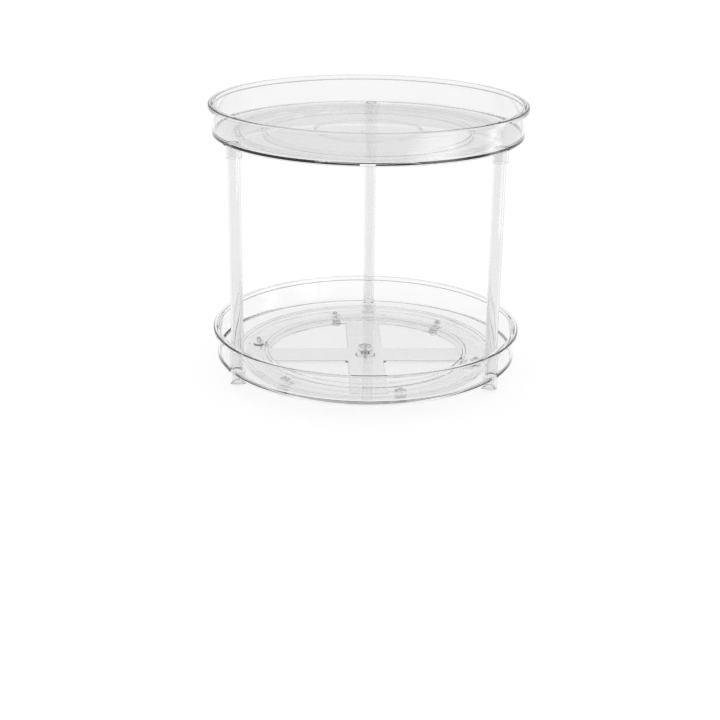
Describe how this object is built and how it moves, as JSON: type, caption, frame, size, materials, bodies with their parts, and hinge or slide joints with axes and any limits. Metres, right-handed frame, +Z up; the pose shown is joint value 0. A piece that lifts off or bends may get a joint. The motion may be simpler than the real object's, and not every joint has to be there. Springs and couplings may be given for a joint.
{
  "type": "lazy susan turntable",
  "caption": "Tiered round clear trays on tube posts, turning freely as one on a low ball-bearing base, for kitchen storage.",
  "frame": {"origin": "on the axis of rotation, on the surface that the feet stand on", "axes": "+Z up along the axis of rotation, +Y towards post 1"},
  "size_m": [0.27, 0.27, 0.235],
  "materials": {
    "tray_plastic": "clear, colourless, polished",
    "post_plastic": "clear, colourless, polished",
    "base_plastic": "clear, colourless, polished",
    "rivet_plastic": "clear, colourless, moulded",
    "foot_silicone": "translucent, matt",
    "ball_steel": "polished bearing steel",
    "pin_steel": "drawn wire, bright"
  },
  "bodies": {
    "base": {"base_frame": "base_plastic", "rubber_foot_1": "foot_silicone", "rubber_foot_2": "foot_silicone", "rubber_foot_3": "foot_silicone", "rubber_foot_4": "foot_silicone", "rubber_foot_5": "foot_silicone", "rubber_foot_6": "foot_silicone", "pivot_rivet": "rivet_plastic", "rivet_core_pin": "pin_steel"},
    "turntable": {"lower_tray": "tray_plastic", "upper_tray": "tray_plastic", "post_1": "post_plastic", "post_2": "post_plastic", "post_3": "post_plastic"},
    "ball_1": {"steel_ball_1": "ball_steel"},
    "ball_2": {"steel_ball_2": "ball_steel"},
    "ball_3": {"steel_ball_3": "ball_steel"},
    "ball_4": {"steel_ball_4": "ball_steel"},
    "ball_5": {"steel_ball_5": "ball_steel"},
    "ball_6": {"steel_ball_6": "ball_steel"}
  },
  "joints": [
    {"name": "turntable_spin", "type": "hinge", "parent": "base", "child": "turntable", "pos_m": [0, 0, 0.012], "axis": [0, 0, 1], "continuous": true},
    {"name": "ball_1_roll", "type": "hinge", "parent": "base", "child": "ball_1", "pos_m": [0.06639, 0.07478, 0.0101], "axis": [0.6639, 0.7478, 0], "continuous": true},
    {"name": "ball_2_roll", "type": "hinge", "parent": "base", "child": "ball_2", "pos_m": [-0.03156, 0.09489, 0.0101], "axis": [-0.3156, 0.9489, 0], "continuous": true},
    {"name": "ball_3_roll", "type": "hinge", "parent": "base", "child": "ball_3", "pos_m": [-0.09796, 0.02011, 0.0101], "axis": [-0.9796, 0.2011, 0], "continuous": true},
    {"name": "ball_4_roll", "type": "hinge", "parent": "base", "child": "ball_4", "pos_m": [-0.06639, -0.07478, 0.0101], "axis": [-0.6639, -0.7478, 0], "continuous": true},
    {"name": "ball_5_roll", "type": "hinge", "parent": "base", "child": "ball_5", "pos_m": [0.03156, -0.09489, 0.0101], "axis": [0.3156, -0.9489, 0], "continuous": true},
    {"name": "ball_6_roll", "type": "hinge", "parent": "base", "child": "ball_6", "pos_m": [0.09796, -0.02011, 0.0101], "axis": [0.9796, -0.2011, 0], "continuous": true}
  ],
  "couplings": [
    {"joint": "ball_1_roll", "follows": "turntable_spin", "ratio": -33.333},
    {"joint": "ball_2_roll", "follows": "turntable_spin", "ratio": -33.333},
    {"joint": "ball_3_roll", "follows": "turntable_spin", "ratio": -33.333},
    {"joint": "ball_4_roll", "follows": "turntable_spin", "ratio": -33.333},
    {"joint": "ball_5_roll", "follows": "turntable_spin", "ratio": -33.333},
    {"joint": "ball_6_roll", "follows": "turntable_spin", "ratio": -33.333}
  ]
}
